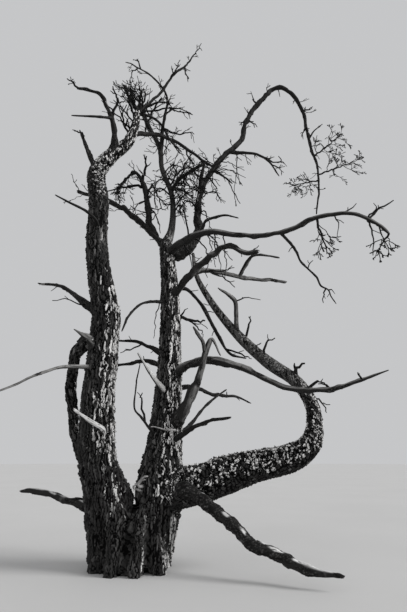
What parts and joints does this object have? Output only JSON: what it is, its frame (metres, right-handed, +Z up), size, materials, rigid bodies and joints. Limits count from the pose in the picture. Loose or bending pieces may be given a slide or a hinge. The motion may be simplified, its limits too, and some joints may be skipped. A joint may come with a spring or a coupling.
{
  "type": "dead pine tree",
  "caption": "Leafless dead pine with three leaning stems on one flared base, a high arching bough, drooping and broken limbs and bare twig sprays, cut flat at ground level",
  "frame": {"origin": "middle of the flat cut under the trunk base, at ground level", "axes": "+Z up; +X to the right of the picture, where the leaning stem and the level bough reach; -Y towards the picture's viewer"},
  "size_m": [4.8533, 2.7118, 7.1198],
  "materials": {
    "bark": "thick plated bark with dark furrows, matt",
    "grey_wood": "weathered grey wood with thin bark left on it, matt",
    "pale_wood": "bare bleached wood with fine cracks along the grain",
    "twigs": "dry bare twigs, matt"
  },
  "bodies": {
    "root": {"arch_arm": "grey_wood", "arch_fall": "grey_wood", "arch_spray_twigs": "twigs", "arch_twig": "grey_wood", "arch_twigs": "twigs", "arch_upper_twigs": "twigs", "back_bough": "grey_wood", "back_left_bough": "grey_wood", "behind_bough": "grey_wood", "collar_snag": "grey_wood", "companion_bough": "grey_wood", "crook_arm": "grey_wood", "crook_bough": "grey_wood", "crook_twigs": "twigs", "crossing_bough": "grey_wood", "crown_side_bough": "grey_wood", "crown_twigs": "twigs", "drooping_bough": "pale_wood", "drooping_left_bough": "bark", "forked_snag": "grey_wood", "forked_snag_arm": "grey_wood", "grey_bough": "grey_wood", "hook_twig": "grey_wood", "leader_arm": "grey_wood", "leader_fork": "grey_wood", "leader_twigs": "twigs", "leaning_stem": "bark", "leaning_stem_rise": "bark", "left_bough": "grey_wood", "left_stem": "bark", "level_bough": "grey_wood", "level_bough_hanger": "grey_wood", "level_drop_twigs": "twigs", "level_tip_twigs": "twigs", "long_left_bough": "grey_wood", "low_back_bough": "grey_wood", "low_crossing_bough": "grey_wood", "low_left_bough": "pale_wood", "low_right_bough": "grey_wood", "low_twig": "grey_wood", "lower_gap_bough": "grey_wood", "middle_stem": "bark", "pale_fork": "pale_wood", "pale_snag": "pale_wood", "rise_snag_high": "grey_wood", "riser": "grey_wood", "riser_snag": "grey_wood", "shoulder_arm": "grey_wood", "shoulder_bough": "grey_wood", "shoulder_spur": "grey_wood", "sky_twig": "grey_wood", "sky_twig_left": "grey_wood", "sky_twigs": "twigs", "small_stem": "grey_wood", "small_stem_twigs": "twigs", "sweeping_bough": "grey_wood", "tangle_twigs": "twigs", "top_left_snag": "grey_wood", "trunk_base": "bark", "upper_gap_bough": "grey_wood"}
  },
  "joints": []
}
